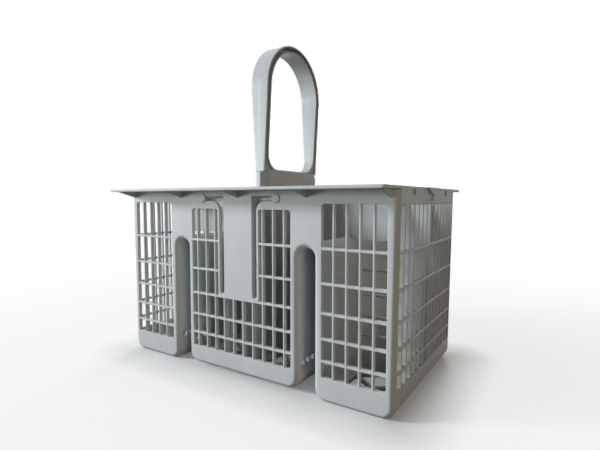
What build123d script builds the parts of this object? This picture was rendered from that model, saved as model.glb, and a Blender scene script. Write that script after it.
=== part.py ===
from build123d import *
from math import radians, sqrt, tan
import os

# Dishwasher cutlery basket: a moulded grid tub with two tunnels under it, and a loop handle that plugs in.
# Millimetres, +Z up, front wall towards -Y, origin on the ground under the middle of the tub.

# Tub
LENGTH = 230.0  # outside length at the rim, along X
DEPTH = 124.4  # outside depth, along Y
HEIGHT = 133.0  # ground to rim
DRAFT = 0.75  # slope of the end walls, degrees
WALL = 2.8  # walls, floor and grid bars
EDGE_BREAK = 2.5  # chamfer along the outline of the front and back walls
LOBE_RADIUS = 8.0  # bottom corners of a compartment, seen from the front
MIDDLE_LIFT = 2.5  # the middle compartment ends this much above the ground

# Tunnels that let the basket stand over the rows of a rack
TUNNEL_WIDTH = 11.6
TUNNEL_TOP = 95.2
TUNNEL_SPACING = 110.2  # between the two centre lines

# Grid of the walls
BASE_BAND = 16.2  # solid wall under the grid
RIM_BAND = 10.3  # solid wall over the grid
MIDDLE_DROP = 4.2  # the middle grid ends this much lower
ROW_HEIGHTS = (9.9, 13.9, 15.9, 18.3, 21.4, 27.1)  # bottom to top, scaled to the grid's height
ROW_BAR = 1.7  # height of a level bar
COLUMN_BAR = 1.3  # width of an upright bar
COLUMN_PITCH = 8.6  # stretched on the end walls to fill them
OUTER_MARGIN = 3.5  # least solid wall beside an outer grid
MIDDLE_MARGIN = 5.4  # solid wall between the middle grid and a tunnel
END_MARGIN = 3.7  # solid wall between an end grid and the corner
GRID_CORNER = 2.0  # rounding of a grid's two top corners

# Rim flange along the front and the back
FLANGE_REACH = 20.3
FLANGE_THICKNESS = 1.9
FLANGE_CORNER = 3.0
GUSSET_INSET = 5.0  # end gussets from the ends of the tub
GUSSET_REACH = 16.0
GUSSET_HEIGHT = 4.6
GUSSET_THICKNESS = 1.8

# Tab in the front wall, between two bent slots that end in pin bosses
TAB_WIDTH = 25.4
TAB_ROWS = 3  # rows of the grid below the tab
SLOT_WIDTH = 3.8
SLOT_LIFT = 2.5  # lower end of a slot above the tab's lower edge
SLOT_ARM_HEIGHT = 3.1
SLOT_ARM_DROP = 5.5  # top of a slot's level arm below the rim
SLOT_BEND_RADIUS = 7.0
SLOT_FRAME = 1.9  # strip of wall between a slot and the grid
PIN_SPACING = 65.6
PIN_RADIUS = 3.1
PIN_STAND = 0.8  # pin head in front of the wall
RAIL_THICKNESS = 1.8
RAIL_DEPTH = 6.5  # guide rail behind the wall's inner face
RAIL_LIP = 5.6
BRACE_DEPTH = 3.0  # level brace behind a slot's arm
BRACE_HEIGHT = 1.8  # it fills the lower part of the arm

# Rim details of the end walls
LIP_WIDTH = 26.0
LIP_DROP = 4.2
LIP_STAND = 2.0
SCOOP_TOP = 16.0
SCOOP_BOTTOM = 6.0
SCOOP_DEPTH = 1.4
SCOOP_FOOT = 8.8  # lower end of the scoop below the rim
SLIT_WIDTH = 6.0
SLIT_HEIGHT = 3.6
SLIT_SPACING = 73.0
SLIT_DROP = 1.4  # wall left over a slit
SLIT_DEPTH = 2.0

# Inside
DIVIDER_THICKNESS = 2.0  # long divider from end to end
DIVIDER_DROP = 8.0  # dividers end this far below the rim
DIVIDER_ROWS = 5  # rows of openings in the long divider, from the bottom up
DIVIDER_POST = 2.4
CROSS_WALL = 3.0  # wall across the middle compartment, which carries the handle
LATTICE_PITCH = 28.0  # width of a diamond of the floor lattice, about
LATTICE_BAR = 2.0
LATTICE_MARGIN = 3.0  # solid floor beside a divider or a wall
LATTICE_RELIEF = 1.0  # openings also cut this far into a rail's foot
VENT_WIDTH = 4.4  # openings low in the tunnel walls, in a short row at each mouth
VENT_HEIGHT = 3.8
VENT_FOOT = 17.4
VENT_PITCH = 6.0
VENT_COUNT = 4  # in a row
VENT_MARGIN = 1.5  # solid wall between the outer wall and the first vent

# Handle
LOOP_WIDTH = 73.2  # outside, along Y
LOOP_HEIGHT = 97.4  # foot of the legs to the top
LOOP_RISE = 13.0  # foot of the legs above the rim
STRAP = 5.2  # thickness of the strap
STRAP_RIM = 1.3  # ridges along the strap's two edges, with a channel between them
STRAP_WEB = 3.0  # between the channels of the two sides
STRAP_FOOT_WIDTH = 8.0  # strap width at the foot
STRAP_TOP_WIDTH = 15.0  # strap width from the start of the round top
WINDOW_SILL = 1.6  # opening's lower edge above the foot of the legs
WINDOW_RADIUS = 12.0  # lower corners of the opening
BLOCK_LENGTH = 62.0
BLOCK_SPREAD = 1.2  # the block's ends lean out by this much towards its foot
TONGUE_LENGTH = 78.0
TONGUE_THICKNESS = 4.5
TONGUE_DEPTH = 13.0  # how far the tongue plugs into its socket
TONGUE_CORNER = 2.2  # rounding of its upper corners
SOCKET_DROP = 4.0  # socket's top below the rim
SOCKET_WALL = 1.9
SOCKET_FLOOR = 4.0
PLUG_GAP = 0.15  # clearance round the tongue

# Values that follow from the sizes above
HALF_LENGTH = LENGTH / 2
HALF_DEPTH = DEPTH / 2
SLOPE = tan(radians(DRAFT))
FOOT_INSET = HEIGHT * SLOPE
TUNNEL_X = TUNNEL_SPACING / 2
TUNNEL_INNER_X = TUNNEL_X - TUNNEL_WIDTH / 2
TUNNEL_OUTER_X = TUNNEL_X + TUNNEL_WIDTH / 2
GRID_TOP = HEIGHT - RIM_BAND
MIDDLE_GRID_TOP = GRID_TOP - MIDDLE_DROP
TAB_HALF = TAB_WIDTH / 2
SLOT_OUTER = TAB_HALF + SLOT_WIDTH
ARM_TOP = HEIGHT - SLOT_ARM_DROP
ARM_MIDDLE = ARM_TOP - SLOT_ARM_HEIGHT / 2
PIN_X = PIN_SPACING / 2
SOCKET_TOP = HEIGHT - SOCKET_DROP
TONGUE_FOOT = SOCKET_TOP - TONGUE_DEPTH
LOOP_FOOT = HEIGHT + LOOP_RISE
LOOP_TOP = LOOP_FOOT + LOOP_HEIGHT
DIVIDER_TOP = HEIGHT - DIVIDER_DROP
OVERSIZE = 5.0  # how far cutters run past what they cut
CLOSE = 0.01  # how near a corner or an edge lies to the level that picks it
CUT_INNER = FOOT_INSET + WALL  # wall cutters end this far inside the rim's outer face


def block(x0, x1, y0, y1, z0, z1):
    """Box from its lowest and highest corners."""
    centre = ((x0 + x1) / 2, (y0 + y1) / 2, (z0 + z1) / 2)
    return Pos(*centre) * Box(abs(x1 - x0), abs(y1 - y0), abs(z1 - z0))


def front_outline(top):
    """Outline of the tub from the front up to a level, with the tunnels cut out."""
    head = HALF_LENGTH + (top - HEIGHT) * SLOPE
    foot = HALF_LENGTH - FOOT_INSET
    outline = make_face(Polyline((-foot, 0), (foot, 0), (head, top), (-head, top), close=True))
    outline -= Pos(0, MIDDLE_LIFT / 2) * Rectangle(TUNNEL_SPACING, MIDDLE_LIFT)
    radius = TUNNEL_WIDTH / 2
    straight = TUNNEL_TOP - radius
    for side in (-1, 1):
        slot = Pos(0, straight / 2) * Rectangle(TUNNEL_WIDTH, straight) + Pos(0, straight) * Circle(radius)
        outline -= Pos(side * TUNNEL_X, 0) * slot
    corners = outline.vertices().filter_by(lambda v: v.Y < MIDDLE_LIFT + CLOSE)
    return fillet(corners, LOBE_RADIUS)


def tub_outside():
    """Outer form of the tub, with broken edges along the outlines of its front and back walls."""
    form = extrude(Plane.XZ * front_outline(HEIGHT), amount=HALF_DEPTH, both=True)
    walls = form.faces().sort_by(Axis.Y)
    edges = walls[0].edges() + walls[-1].edges()
    return chamfer(edges.filter_by(lambda e: e.center().Z < HEIGHT - CLOSE), EDGE_BREAK)


def tub_hollow():
    """Inner form of the tub, an even wall inside the outer one and open at the rim."""
    outline = offset(front_outline(HEIGHT + OVERSIZE + WALL), -WALL)
    return extrude(Plane.XZ * outline, amount=HALF_DEPTH - WALL, both=True)


def guide_rails():
    """Two L rails behind the edges of the tab, each with a level brace out to its pin."""
    inner = -HALF_DEPTH + WALL
    lip_front = inner + RAIL_DEPTH - RAIL_THICKNESS
    lip_back = inner + RAIL_DEPTH
    brace_back = inner + BRACE_DEPTH
    rails = []
    for side in (-1, 1):
        web_x = side * (TAB_HALF - RAIL_THICKNESS)
        lip_x = web_x + side * RAIL_LIP
        rails.append(block(web_x, side * TAB_HALF, -HALF_DEPTH, lip_back, 0, ARM_TOP))
        rails.append(block(web_x, lip_x, lip_front, lip_back, 0, ARM_TOP))
        brace_x = side * (PIN_X + PIN_RADIUS)
        arm_foot = ARM_TOP - SLOT_ARM_HEIGHT
        brace_top = arm_foot + BRACE_HEIGHT
        rails.append(block(web_x, brace_x, brace_back - RAIL_THICKNESS, brace_back, arm_foot, brace_top))
    return rails


def inside_walls():
    """What stands in the tub: long divider, cross wall, handle socket and guide rails."""
    divider = block(-LENGTH, LENGTH, -DIVIDER_THICKNESS / 2, DIVIDER_THICKNESS / 2, -OVERSIZE, DIVIDER_TOP)
    cross = block(-CROSS_WALL / 2, CROSS_WALL / 2, -DEPTH, DEPTH, -OVERSIZE, DIVIDER_TOP)
    socket_x = TONGUE_THICKNESS / 2 + PLUG_GAP + SOCKET_WALL
    socket_y = TONGUE_LENGTH / 2 + PLUG_GAP + SOCKET_WALL
    socket_foot = TONGUE_FOOT - PLUG_GAP - SOCKET_FLOOR
    socket = block(-socket_x, socket_x, -socket_y, socket_y, socket_foot, SOCKET_TOP)
    return [divider, cross, socket] + guide_rails()


def shell():
    """Tub hollowed to an even wall, with everything that stands inside it."""
    return tub_outside() - (tub_hollow() - inside_walls())


def rim_flanges():
    """Plates along the front and the back of the rim, with the gussets under them."""
    plates = []
    inner = HALF_DEPTH - WALL
    outer = HALF_DEPTH + FLANGE_REACH
    low = HEIGHT - FLANGE_THICKNESS
    plate = block(-HALF_LENGTH, HALF_LENGTH, -outer, -inner, low, HEIGHT)
    corners = plate.edges().filter_by(Axis.Z).group_by(Axis.Y)[0]
    plate = fillet(corners, FLANGE_CORNER)
    root = inner + WALL / 2
    gusset = make_face(Polyline((-root, low), (-HALF_DEPTH - GUSSET_REACH, low),
                                (-HALF_DEPTH, low - GUSSET_HEIGHT), (-root, low - GUSSET_HEIGHT), close=True))
    rib = extrude(Plane.YZ * gusset, amount=GUSSET_THICKNESS / 2, both=True)
    end = HALF_LENGTH - GUSSET_INSET
    for angle in (0, 180):
        plates.append(Rot(0, 0, angle) * plate)
        for place in (-end, -TUNNEL_X, 0, TUNNEL_X, end):
            plates.append(Rot(0, 0, angle) * Pos(place, 0, 0) * rib)
    return plates


def end_lips():
    """Segment-shaped lips at the middle of both end rims."""
    radius = (LIP_WIDTH ** 2 / 4 + LIP_DROP ** 2) / (2 * LIP_DROP)
    segment = Pos(0, HEIGHT - LIP_DROP + radius) * Circle(radius)
    segment &= Pos(0, HEIGHT - LIP_DROP / 2) * Rectangle(LENGTH, LIP_DROP)
    root = (SCOOP_DEPTH + WALL) / 2
    lip = Pos(HALF_LENGTH - root, 0, 0) * extrude(Plane.YZ * segment, amount=LIP_STAND + root)
    return [lip, Rot(0, 0, 180) * lip]


def pins():
    """Round pin bosses at the outer ends of the bent slots."""
    front = -HALF_DEPTH - PIN_STAND
    length = PIN_STAND + WALL + BRACE_DEPTH
    pin = Rot(90, 0, 0) * Cylinder(PIN_RADIUS, length)
    return [Pos(side * PIN_X, front + length / 2, ARM_MIDDLE) * pin for side in (-1, 1)]


def row_lines(top):
    """Levels of the grid's bars, with the hole edges at the bottom and the top."""
    scale = (GRID_TOP - BASE_BAND) / sum(ROW_HEIGHTS)
    lines = [BASE_BAND]
    for height in ROW_HEIGHTS[:-1]:
        lines.append(lines[-1] + height * scale)
    return lines + [top]


def column_lines(centre, count, pitch):
    """Places of a grid's upright bars, with the hole edges at both ends."""
    half = count * pitch / 2
    lines = [centre - half + index * pitch for index in range(count + 1)]
    lines[0] += COLUMN_BAR / 2
    lines[-1] -= COLUMN_BAR / 2
    return lines


def spans(lines, bar):
    """Gaps between neighbouring lines, less half a bar at each inner line."""
    lows = [lines[0]] + [line + bar / 2 for line in lines[1:-1]]
    highs = [line - bar / 2 for line in lines[1:-1]] + [lines[-1]]
    return list(zip(lows, highs))


def grid_cutters(reach, columns, rows, angle=0, rounded=False):
    """Cutters for a grid of holes in the wall whose outer face lies at this reach, turned about Z."""
    cutters = []
    column_spans = spans(columns, COLUMN_BAR)
    row_spans = spans(rows, ROW_BAR)
    for column, (x0, x1) in enumerate(column_spans):
        for row, (z0, z1) in enumerate(row_spans):
            hole = block(x0, x1, -reach - OVERSIZE, -reach + CUT_INNER, z0, z1)
            uppers = hole.edges().filter_by(Axis.Y).group_by(Axis.Z)[-1].sort_by(Axis.X)
            radius = min(GRID_CORNER, x1 - x0 - CLOSE)
            if rounded and row == len(row_spans) - 1 and column == 0:
                hole = fillet(uppers[0], radius)
            if rounded and row == len(row_spans) - 1 and column == len(column_spans) - 1:
                hole = fillet(uppers[-1], radius)
            cutters.append(Rot(0, 0, angle) * hole)
    return cutters


def middle_columns():
    """Bars of the middle grid: an odd number of full columns, and a narrow one at each end if it fits."""
    edge = TUNNEL_INNER_X - MIDDLE_MARGIN
    count = (int(2 * edge / COLUMN_PITCH) - 1) // 2 * 2 + 1
    half = count * COLUMN_PITCH / 2
    if edge - half < 2 * COLUMN_BAR:
        return column_lines(0, count, COLUMN_PITCH)
    return [-edge] + [index * COLUMN_PITCH - half for index in range(count + 1)] + [edge]


def front_middle_cutters():
    """Holes of the front wall's middle grid, which leaves the tab free."""
    columns = middle_columns()
    rows = row_lines(MIDDLE_GRID_TOP)
    tab_foot = rows[TAB_ROWS]
    lower = rows[:TAB_ROWS] + [tab_foot - ROW_BAR / 2]
    upper = [tab_foot + ROW_BAR / 2] + rows[TAB_ROWS + 1:]
    frame = SLOT_OUTER + SLOT_FRAME
    right = [frame] + [x for x in columns if x > frame + 2 * COLUMN_BAR]
    left = [-x for x in reversed(right)]
    cutters = grid_cutters(HALF_DEPTH, columns, lower)
    cutters += grid_cutters(HALF_DEPTH, right, upper, rounded=True)
    cutters += grid_cutters(HALF_DEPTH, left, upper, rounded=True)
    return cutters


def bent_slots():
    """The two slots beside the tab: upright, then bent outwards to the pins."""
    foot = row_lines(MIDDLE_GRID_TOP)[TAB_ROWS] + SLOT_LIFT
    radius = SLOT_WIDTH / 2
    straight = ARM_TOP - foot - radius
    upright = Pos(TAB_HALF + radius, ARM_TOP - straight / 2) * Rectangle(SLOT_WIDTH, straight)
    upright += Pos(TAB_HALF + radius, foot + radius) * Circle(radius)
    arm = Pos((TAB_HALF + PIN_X) / 2, ARM_MIDDLE) * Rectangle(PIN_X - TAB_HALF, SLOT_ARM_HEIGHT)
    bent = upright + arm
    bend = bent.vertices().sort_by_distance((SLOT_OUTER, ARM_TOP - SLOT_ARM_HEIGHT))[0]
    bent = fillet(bend, SLOT_BEND_RADIUS)
    slot = extrude(Plane.XZ * bent, amount=OVERSIZE + CUT_INNER)
    slot = Pos(0, -HALF_DEPTH + CUT_INNER, 0) * slot
    return [slot, mirror(slot, about=Plane.YZ)]


def wall_cutters():
    """All grid holes of the four outer walls."""
    rows = row_lines(GRID_TOP)
    end = HALF_LENGTH - FOOT_INSET / 2
    outer_x = (TUNNEL_OUTER_X + end) / 2
    outer_count = int((end - TUNNEL_OUTER_X - 2 * OUTER_MARGIN) / COLUMN_PITCH)
    cutters = front_middle_cutters()
    cutters += grid_cutters(HALF_DEPTH, middle_columns(), row_lines(MIDDLE_GRID_TOP), 180)
    for side in (-1, 1):
        columns = column_lines(side * outer_x, outer_count, COLUMN_PITCH)
        for angle in (0, 180):
            cutters += grid_cutters(HALF_DEPTH, columns, rows, angle, True)
    end_width = DEPTH - 2 * END_MARGIN + COLUMN_BAR
    end_count = round(end_width / COLUMN_PITCH)
    columns = column_lines(0, end_count, end_width / end_count)
    for angle in (90, -90):
        cutters += grid_cutters(HALF_LENGTH, columns, rows, angle)
    return cutters


def end_cutters():
    """Finger scoop and two slits in the upper band of each end wall."""
    scoop_top = HEIGHT - LIP_DROP / 2
    scoop_foot = HEIGHT - SCOOP_FOOT
    scoop = make_face(Polyline((-SCOOP_BOTTOM / 2, scoop_foot), (SCOOP_BOTTOM / 2, scoop_foot),
                               (SCOOP_TOP / 2, scoop_top), (-SCOOP_TOP / 2, scoop_top), close=True))
    scoop = Pos(HALF_LENGTH - SCOOP_DEPTH, 0, 0) * extrude(Plane.YZ * scoop, amount=OVERSIZE)
    slit_top = HEIGHT - SLIT_DROP
    slit = block(HALF_LENGTH - SLIT_DEPTH, HALF_LENGTH + OVERSIZE,
                 -SLIT_WIDTH / 2, SLIT_WIDTH / 2, slit_top - SLIT_HEIGHT, slit_top)
    cutters = []
    for angle in (0, 180):
        cutters.append(Rot(0, 0, angle) * scoop)
        for side in (-1, 1):
            cutters.append(Rot(0, 0, angle) * Pos(0, side * SLIT_SPACING / 2, 0) * slit)
    return cutters


def lattice(x0, x1, y0, y1):
    """Openings of a floor field: whole diamonds side by side, and halves along its edges."""
    across = max(1, round((x1 - x0) / LATTICE_PITCH))
    along = max(1, round((y1 - y0) / LATTICE_PITCH))
    half_x = (x1 - x0) / across / 2
    half_y = (y1 - y0) / along / 2
    shrink = 1 - LATTICE_BAR / sqrt(2) / min(half_x, half_y)
    diamond = make_face(Polyline((-half_x, 0), (0, -half_y), (half_x, 0), (0, half_y), close=True))
    diamond = scale(diamond, by=shrink)
    field = Pos((x0 + x1) / 2, (y0 + y1) / 2) * Rectangle(x1 - x0 - LATTICE_BAR, y1 - y0 - LATTICE_BAR)
    openings = []
    for i in range(2 * across + 1):
        for j in range(2 * along + 1):
            edges = (i in (0, 2 * across)) + (j in (0, 2 * along))
            if (i + j) % 2 == 0 and edges < 2:
                openings.append(field & Pos(x0 + i * half_x, y0 + j * half_y) * diamond)
    return openings


def floor_cutters():
    """Lattice openings in the floors of all compartments, front and back half."""
    edge = LOBE_RADIUS
    near = LATTICE_MARGIN
    far = HALF_DEPTH - WALL - LATTICE_MARGIN
    outer = (TUNNEL_OUTER_X + edge, HALF_LENGTH - FOOT_INSET - edge, WALL)
    middle = (CROSS_WALL / 2 + LATTICE_MARGIN, TUNNEL_INNER_X - edge, MIDDLE_LIFT + WALL)
    cutters = []
    for x0, x1, floor in (outer, middle):
        for opening in lattice(x0, x1, near, far):
            height = OVERSIZE + floor + LATTICE_RELIEF
            cutter = Pos(0, 0, -OVERSIZE) * extrude(opening, amount=height, dir=(0, 0, 1))
            for angle in (0, 180):
                turned = Rot(0, 0, angle) * cutter
                cutters += [turned, mirror(turned, about=Plane.YZ)]
    return cutters


def vent_cutters():
    """Short rows of openings low in the tunnel walls, from each mouth inwards."""
    reach = TUNNEL_WIDTH / 2 + 2 * WALL
    first = HALF_DEPTH - WALL - VENT_MARGIN
    cutters = []
    for side in (-1, 1):
        x = side * TUNNEL_X
        for index in range(VENT_COUNT):
            outer = first - index * VENT_PITCH
            for y in (-outer, outer - VENT_WIDTH):
                cutters.append(block(x - reach, x + reach, y, y + VENT_WIDTH,
                                     VENT_FOOT, VENT_FOOT + VENT_HEIGHT))
    return cutters


def divider_cutters():
    """Wide openings in the long divider, one column in each outer compartment, below a solid upper band."""
    left = TUNNEL_OUTER_X + WALL + DIVIDER_POST
    right = HALF_LENGTH - FOOT_INSET - WALL - DIVIDER_POST
    cutters = []
    for low, high in spans(row_lines(GRID_TOP)[:DIVIDER_ROWS + 1], ROW_BAR):
        hole = block(left, right, -DIVIDER_THICKNESS, DIVIDER_THICKNESS, low, high)
        cutters += [hole, mirror(hole, about=Plane.YZ)]
    return cutters


def socket_cutter():
    """Slot for the handle's tongue."""
    x = TONGUE_THICKNESS / 2 + PLUG_GAP
    y = TONGUE_LENGTH / 2 + PLUG_GAP
    return [block(-x, x, -y, y, TONGUE_FOOT - PLUG_GAP, SOCKET_TOP + OVERSIZE)]


def basket():
    """The whole tub as one moulding."""
    body = shell() - end_cutters() - bent_slots()
    body += rim_flanges() + end_lips() + pins()
    body -= wall_cutters()
    body -= floor_cutters()
    body -= divider_cutters()
    body -= vent_cutters() + socket_cutter()
    return body


def loop_outline(width, foot, top):
    """Straight-sided outline with a round top."""
    radius = width / 2
    spring = top - radius
    return Pos(0, (foot + spring) / 2) * Rectangle(width, spring - foot) + Pos(0, spring) * Circle(radius)


def handle():
    """Loop strap that widens upwards, with channelled sides, on a stepped foot with a tongue."""
    opening = loop_outline(LOOP_WIDTH - 2 * STRAP, LOOP_FOOT + WINDOW_SILL, LOOP_TOP - STRAP)
    opening = fillet(opening.vertices().group_by(Axis.Y)[0], WINDOW_RADIUS)
    outline = loop_outline(LOOP_WIDTH, LOOP_FOOT, LOOP_TOP)
    ring = outline - opening
    channel = offset(outline, -STRAP_RIM) - offset(opening, STRAP_RIM)
    spring = LOOP_TOP - LOOP_WIDTH / 2
    foot_half = STRAP_FOOT_WIDTH / 2
    top_half = STRAP_TOP_WIDTH / 2
    taper = make_face(Polyline((-foot_half, LOOP_FOOT - OVERSIZE), (foot_half, LOOP_FOOT - OVERSIZE),
                               (foot_half, LOOP_FOOT), (top_half, spring), (top_half, LOOP_TOP + OVERSIZE),
                               (-top_half, LOOP_TOP + OVERSIZE), (-top_half, spring), (-foot_half, LOOP_FOOT),
                               close=True))
    strap = extrude(Plane.YZ * ring, amount=STRAP_TOP_WIDTH, both=True)
    strap &= extrude(Plane.XZ * taper, amount=LOOP_WIDTH, both=True)
    cut = Pos(STRAP_WEB / 2, 0, 0) * extrude(Plane.YZ * channel, amount=STRAP_TOP_WIDTH)
    strap -= [cut, mirror(cut, about=Plane.YZ)]
    half = BLOCK_LENGTH / 2
    body = make_face(Polyline((-half - BLOCK_SPREAD, SOCKET_TOP), (half + BLOCK_SPREAD, SOCKET_TOP),
                              (half, LOOP_FOOT), (-half, LOOP_FOOT), close=True))
    foot = extrude(Plane.YZ * body, amount=foot_half, both=True)
    plug = Pos(0, (TONGUE_FOOT + LOOP_FOOT) / 2) * Rectangle(TONGUE_LENGTH, LOOP_FOOT - TONGUE_FOOT)
    plug = fillet(plug.vertices().group_by(Axis.Y)[-1], TONGUE_CORNER)
    tongue = extrude(Plane.YZ * plug, amount=TONGUE_THICKNESS / 2, both=True)
    return strap + foot + tongue


os.makedirs("parts", exist_ok=True)
export_step(basket(), "parts/basket.step")
export_step(handle(), "parts/handle.step")
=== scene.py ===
from math import cos, radians, sin

import bpy
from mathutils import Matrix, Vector

# Dishwasher cutlery basket: rounded edges, moulded plastic, floor, light and camera.
# Metres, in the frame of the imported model: +Z up, front wall towards -Y.

# Camera, fitted to the photograph
CAMERA_PLACE = (0.1923, -0.2815, 0.1257)
CAMERA_PITCH = 3.566  # degrees below the horizon
CAMERA_YAW = 32.74  # degrees from +Y towards -X
CAMERA_LENS = 25.24  # millimetres, on the sensor below
CAMERA_SENSOR = 36.0
CAMERA_NEAR = 0.01  # nearest thing that is seen

# Rounding of edges
WELD_DISTANCE = 1e-6
BROKEN_EDGE_LEAST = 25.0  # degrees, edges beside a chamfer turn between these two
BROKEN_EDGE_MOST = 60.0
TUB_ROUNDING = 0.0007
HANDLE_ROUNDING = 0.0009
SHARP_EDGE_SHARE = 0.5  # rounding of a square edge, as a share of the above
ROUNDING_STEPS = 2
FLAT_FACE_WEIGHT = 90  # how far large faces set the shading of their corners, 50 is even

# Plastics
TUB_COLOUR = (0.46, 0.482, 0.487)
HANDLE_COLOUR = (0.445, 0.47, 0.48)
PLASTIC_GLOSS = 0.25
TUB_ROUGHNESS = (0.42, 0.52)
HANDLE_ROUGHNESS = (0.24, 0.34)
SOFT_EDGE = 0.0004  # shading turns over this far beside an edge
NOISE_MIDDLE = (0.3, 0.7)  # most of a noise lies between these
CLOUDS = (22, 3)  # scale and detail of each noise
STREAKS = (30, 2)
GRAIN = (2600, 2)
STREAK_STRETCH = (4, 4, 0.6)  # streaks run up the walls
CLOUD_SHADE = (0.96, 1.03)  # shares of the plastic's colour
STREAK_SHADE = (0.97, 1.02)
GRAIN_STRENGTH = 0.12
GRAIN_HEIGHT = 0.0001
PARTING_HALF = 0.0005  # half the width of the handle's parting line
PARTING_PAINTED_HIGHLIGHT = 0.16  # painted highlight: added to the share of the colour along the line, standing in for the light the raised line catches
PARTING_RISE = 5.0  # height of the line, in heights of the grain

# Floor
FLOOR_HALF = 4.0
FLOOR_ROUGHNESS = 0.9
FLOOR_COLOUR = (0.86, 0.86, 0.86)
FLOOR_BOUNCE = (0.15, 0.145, 0.135)  # what the floor throws back at the object
FOOTPRINT = (0.115, 0.0622, 0.0)  # half the basket's foot
FLOOR_REACH = 0.45  # metres from the foot to where the floor is white
FLOOR_WHITENESS = ((0.0, 0.12), (0.08, 0.72), (1.0, 1.0))  # share of the reach, share of white

# Light
SKY_STRENGTH = 0.03
SKY_COLOUR = (1.0, 0.93, 0.82)
AIM = (0.0, 0.0, 0.09)
COOL = (0.9, 0.955, 1.0)
WHITE = (1.0, 0.98, 0.95)
AMBER = (1.0, 0.84, 0.62)
LAMP_DISTANCE = 4.0
LAMPS = {  # degrees from the front towards the left, degrees above level, size, power and colour
    "key": (56, 19, 0.8, 150.0, COOL),
    "side": (76, 6, 1.0, 36.0, COOL),
    "fill": (42, 3, 1.0, 80.0, COOL),
    "right": (-62, 8, 1.2, 31.0, AMBER),
    "top": (170, 80, 1.2, 30.0, WHITE),
    "back": (165, 12, 1.2, 115.0, WHITE),
}


def link(tree, source, target):
    """Connects an output to an input, or sets the input to a value."""
    if isinstance(source, bpy.types.NodeSocket):
        tree.links.new(source, target)
    else:
        target.default_value = source


def maths(tree, operation, first, second):
    """Math node of a shader or geometry tree."""
    node = tree.nodes.new("ShaderNodeMath")
    node.operation = operation
    link(tree, first, node.inputs[0])
    link(tree, second, node.inputs[1])
    return node.outputs[0]


def noise(tree, place, kind, stretch=(1, 1, 1)):
    """Noise in the object's own coordinates, from 0 to 1."""
    scale, detail = kind
    mapping = tree.nodes.new("ShaderNodeMapping")
    mapping.inputs["Scale"].default_value = stretch
    tree.links.new(place, mapping.inputs["Vector"])
    node = tree.nodes.new("ShaderNodeTexNoise")
    node.inputs["Scale"].default_value = scale
    node.inputs["Detail"].default_value = detail
    tree.links.new(mapping.outputs["Vector"], node.inputs["Vector"])
    return node.outputs["Fac"]


def spread(tree, value, limits):
    """Maps the middle of a noise to a range."""
    node = tree.nodes.new("ShaderNodeMapRange")
    node.inputs["From Min"].default_value = NOISE_MIDDLE[0]
    node.inputs["From Max"].default_value = NOISE_MIDDLE[1]
    node.inputs["To Min"].default_value = limits[0]
    node.inputs["To Max"].default_value = limits[1]
    tree.links.new(value, node.inputs["Value"])
    return node.outputs["Result"]


def parting_line(tree, place):
    """1 along the mould's parting line in the middle of the strap, 0 beside it."""
    axes = tree.nodes.new("ShaderNodeSeparateXYZ")
    tree.links.new(place, axes.inputs["Vector"])
    node = tree.nodes.new("ShaderNodeMapRange")
    node.interpolation_type = "SMOOTHSTEP"
    node.inputs["From Min"].default_value = PARTING_HALF
    node.inputs["From Max"].default_value = 0.0
    tree.links.new(maths(tree, "ABSOLUTE", axes.outputs["X"], 0.0), node.inputs["Value"])
    return node.outputs["Result"]


def moulded_plastic(name, colour, roughness, parted):
    """Satin plastic with faint clouds, flow streaks, a fine grain and, if parted, a raised parting
    line with a painted highlight along it.
    """
    material = bpy.data.materials.new(name)
    material.use_nodes = True
    tree = material.node_tree
    shader = tree.nodes["Principled BSDF"]
    place = tree.nodes.new("ShaderNodeTexCoord").outputs["Object"]
    clouds = noise(tree, place, CLOUDS)
    streaks = noise(tree, place, STREAKS, STREAK_STRETCH)
    grain = noise(tree, place, GRAIN)
    cloud_shade = spread(tree, clouds, CLOUD_SHADE)
    shade = maths(tree, "MULTIPLY", cloud_shade, spread(tree, streaks, STREAK_SHADE))
    if parted:
        line = parting_line(tree, place)
        # painted highlight: the colour is lifted along the parting line, which is also raised by the
        # bump below
        shade = maths(tree, "ADD", shade, maths(tree, "MULTIPLY", line, PARTING_PAINTED_HIGHLIGHT))
        grain = maths(tree, "ADD", grain, maths(tree, "MULTIPLY", line, PARTING_RISE))
    tint = tree.nodes.new("ShaderNodeVectorMath")
    tint.operation = "SCALE"
    tint.inputs[0].default_value = colour
    tree.links.new(shade, tint.inputs["Scale"])
    tree.links.new(tint.outputs["Vector"], shader.inputs["Base Color"])
    tree.links.new(spread(tree, clouds, roughness), shader.inputs["Roughness"])
    shader.inputs["Specular IOR Level"].default_value = PLASTIC_GLOSS
    rounded = tree.nodes.new("ShaderNodeBevel")
    rounded.inputs["Radius"].default_value = SOFT_EDGE
    bump = tree.nodes.new("ShaderNodeBump")
    tree.links.new(rounded.outputs["Normal"], bump.inputs["Normal"])
    bump.inputs["Strength"].default_value = GRAIN_STRENGTH
    bump.inputs["Distance"].default_value = GRAIN_HEIGHT
    tree.links.new(grain, bump.inputs["Height"])
    tree.links.new(bump.outputs["Normal"], shader.inputs["Normal"])
    return material


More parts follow.
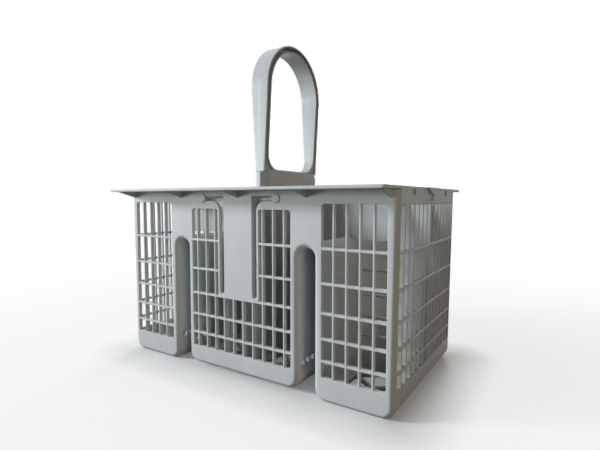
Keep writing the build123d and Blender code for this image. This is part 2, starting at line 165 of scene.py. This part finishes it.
def edge_weights():
    """Geometry nodes that mark how far each edge is rounded."""
    tree = bpy.data.node_groups.new("edge_weights", "GeometryNodeTree")
    tree.interface.new_socket("Geometry", in_out="INPUT", socket_type="NodeSocketGeometry")
    tree.interface.new_socket("Geometry", in_out="OUTPUT", socket_type="NodeSocketGeometry")
    start = tree.nodes.new("NodeGroupInput")
    end = tree.nodes.new("NodeGroupOutput")
    angle = tree.nodes.new("GeometryNodeInputMeshEdgeAngle").outputs["Unsigned Angle"]
    turned = maths(tree, "GREATER_THAN", angle, radians(BROKEN_EDGE_LEAST))
    sharp = maths(tree, "GREATER_THAN", angle, radians(BROKEN_EDGE_MOST))
    weight = maths(tree, "SUBTRACT", turned, maths(tree, "MULTIPLY", sharp, 1 - SHARP_EDGE_SHARE))
    store = tree.nodes.new("GeometryNodeStoreNamedAttribute")
    store.data_type = "FLOAT"
    store.domain = "EDGE"
    store.inputs["Name"].default_value = "bevel_weight_edge"
    tree.links.new(start.outputs[0], store.inputs["Geometry"])
    tree.links.new(weight, store.inputs["Value"])
    smooth = tree.nodes.new("GeometryNodeSetShadeSmooth")
    tree.links.new(store.outputs[0], smooth.inputs["Geometry"])
    tree.links.new(smooth.outputs[0], end.inputs[0])
    return tree


def round_edges(node, width, weights):
    """Rounds a CAD node's edges by modifiers, wider where the source breaks them."""
    weld = node.modifiers.new("weld", "WELD")
    weld.merge_threshold = WELD_DISTANCE
    mark = node.modifiers.new("mark", "NODES")
    mark.node_group = weights
    bevel = node.modifiers.new("bevel", "BEVEL")
    bevel.limit_method = "WEIGHT"
    bevel.width = width
    bevel.segments = ROUNDING_STEPS
    bevel.loop_slide = False
    bevel.use_clamp_overlap = False
    normals = node.modifiers.new("normals", "WEIGHTED_NORMAL")
    normals.weight = FLAT_FACE_WEIGHT


def dress(node, material, width, weights):
    """Gives a CAD node its material and rounded edges."""
    node.data.materials.clear()
    node.data.materials.append(material)
    round_edges(node, width, weights)


def seen_directly(tree):
    """1 for rays of the camera, of reflections and through glass."""
    path = tree.nodes.new("ShaderNodeLightPath")
    direct = maths(tree, "MAXIMUM", path.outputs["Is Camera Ray"], path.outputs["Is Glossy Ray"])
    return maths(tree, "MAXIMUM", direct, path.outputs["Is Transmission Ray"])


def vector_maths(tree, operation, first, second=(0, 0, 0)):
    """Vector Math node of a shader tree."""
    node = tree.nodes.new("ShaderNodeVectorMath")
    node.operation = operation
    tree.links.new(first, node.inputs[0])
    node.inputs[1].default_value = second
    return node


def distance_from_foot(tree):
    """Distance on the floor outside the basket's foot."""
    place = tree.nodes.new("ShaderNodeTexCoord").outputs["Object"]
    for operation, value in (("ABSOLUTE", (0, 0, 0)), ("SUBTRACT", FOOTPRINT), ("MAXIMUM", (0, 0, 0))):
        place = vector_maths(tree, operation, place, value).outputs["Vector"]
    return vector_maths(tree, "LENGTH", place).outputs["Value"]


def floor_whiteness(tree):
    """Share of white at each place on the floor, low round the foot to keep the shadow."""
    fade = tree.nodes.new("ShaderNodeValToRGB")
    stops = fade.color_ramp.elements
    while len(stops) < len(FLOOR_WHITENESS):
        stops.new(FLOOR_WHITENESS[1][0])
    for stop, (position, share) in zip(stops, FLOOR_WHITENESS):
        stop.position = position
        stop.color = (share, share, share, 1)
    reach = maths(tree, "DIVIDE", distance_from_foot(tree), FLOOR_REACH)
    tree.links.new(reach, fade.inputs["Fac"])
    return fade.outputs["Color"]


def floor_material():
    """Pale floor that keeps the shadow near the object and turns white further out."""
    material = bpy.data.materials.new("floor")
    material.use_nodes = True
    tree = material.node_tree
    shader = tree.nodes["Principled BSDF"]
    path = tree.nodes.new("ShaderNodeLightPath")
    colour = tree.nodes.new("ShaderNodeMix")
    colour.data_type = "RGBA"
    bounced, seen = (socket for socket in colour.inputs if socket.enabled and socket.type == "RGBA")
    bounced.default_value = (*FLOOR_BOUNCE, 1)
    seen.default_value = (*FLOOR_COLOUR, 1)
    tree.links.new(path.outputs["Is Camera Ray"], colour.inputs["Factor"])
    result = next(socket for socket in colour.outputs if socket.enabled)
    tree.links.new(result, shader.inputs["Base Color"])
    shader.inputs["Roughness"].default_value = FLOOR_ROUGHNESS
    shader.inputs["Specular IOR Level"].default_value = 0.0
    white = tree.nodes.new("ShaderNodeEmission")
    mix = tree.nodes.new("ShaderNodeMixShader")
    share = maths(tree, "MULTIPLY", floor_whiteness(tree), seen_directly(tree))
    tree.links.new(share, mix.inputs["Fac"])
    tree.links.new(shader.outputs["BSDF"], mix.inputs[1])
    tree.links.new(white.outputs["Emission"], mix.inputs[2])
    tree.links.new(mix.outputs["Shader"], tree.nodes["Material Output"].inputs["Surface"])
    return material


def make_floor():
    """Floor under the object."""
    mesh = bpy.data.meshes.new("floor")
    corners = [(x, y, 0) for x, y in ((-1, -1), (1, -1), (1, 1), (-1, 1))]
    mesh.from_pydata([Vector(c) * FLOOR_HALF for c in corners], [], [(0, 1, 2, 3)])
    mesh.materials.append(floor_material())
    floor = bpy.data.objects.new("floor", mesh)
    bpy.context.scene.collection.objects.link(floor)


def make_world():
    """Soft light from all round, with a white background."""
    world = bpy.data.worlds.new("studio")
    world.use_nodes = True
    bpy.context.scene.world = world
    tree = world.node_tree
    sky = tree.nodes["Background"]
    sky.inputs["Color"].default_value = (*SKY_COLOUR, 1)
    sky.inputs["Strength"].default_value = SKY_STRENGTH
    white = tree.nodes.new("ShaderNodeBackground")
    white.inputs["Color"].default_value = (1, 1, 1, 1)
    mix = tree.nodes.new("ShaderNodeMixShader")
    tree.links.new(seen_directly(tree), mix.inputs["Fac"])
    tree.links.new(sky.outputs["Background"], mix.inputs[1])
    tree.links.new(white.outputs["Background"], mix.inputs[2])
    tree.links.new(mix.outputs["Shader"], tree.nodes["World Output"].inputs["Surface"])


def lamp_place(turn, rise):
    """Place of a lamp round the object."""
    level = cos(radians(rise))
    direction = Vector((-sin(radians(turn)) * level, -cos(radians(turn)) * level, sin(radians(rise))))
    return Vector(AIM) + LAMP_DISTANCE * direction


def area_light(name, turn, rise, size, power, colour):
    """Square lamp that looks at the object."""
    place = lamp_place(turn, rise)
    lamp = bpy.data.lights.new(name, "AREA")
    lamp.size = size
    lamp.energy = power
    lamp.color = colour
    holder = bpy.data.objects.new(name, lamp)
    holder.location = place
    holder.rotation_euler = (Vector(AIM) - place).to_track_quat("-Z", "Y").to_euler()
    bpy.context.scene.collection.objects.link(holder)


def make_camera():
    """Camera at the photograph's place and angle."""
    data = bpy.data.cameras.new("camera")
    data.lens = CAMERA_LENS
    data.sensor_width = CAMERA_SENSOR
    data.clip_start = CAMERA_NEAR
    camera = bpy.data.objects.new("camera", data)
    camera.location = CAMERA_PLACE
    camera.rotation_euler = (radians(90 - CAMERA_PITCH), 0, radians(CAMERA_YAW))
    bpy.context.scene.collection.objects.link(camera)
    bpy.context.scene.camera = camera


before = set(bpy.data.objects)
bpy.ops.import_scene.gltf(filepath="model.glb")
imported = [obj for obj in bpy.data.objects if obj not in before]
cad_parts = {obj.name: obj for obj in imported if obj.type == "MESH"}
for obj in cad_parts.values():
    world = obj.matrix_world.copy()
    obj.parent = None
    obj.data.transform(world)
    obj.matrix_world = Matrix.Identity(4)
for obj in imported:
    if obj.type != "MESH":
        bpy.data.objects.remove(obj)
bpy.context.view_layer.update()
bpy.context.scene.view_settings.view_transform = "Standard"
weights = edge_weights()
tub_plastic = moulded_plastic("basket_plastic", TUB_COLOUR, TUB_ROUGHNESS, parted=False)
handle_plastic = moulded_plastic("handle_plastic", HANDLE_COLOUR, HANDLE_ROUGHNESS, parted=True)
dress(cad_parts["basket"], tub_plastic, TUB_ROUNDING, weights)
dress(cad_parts["handle"], handle_plastic, HANDLE_ROUNDING, weights)
make_floor()
make_world()
for name, lamp in LAMPS.items():
    area_light(name, *lamp)
make_camera()
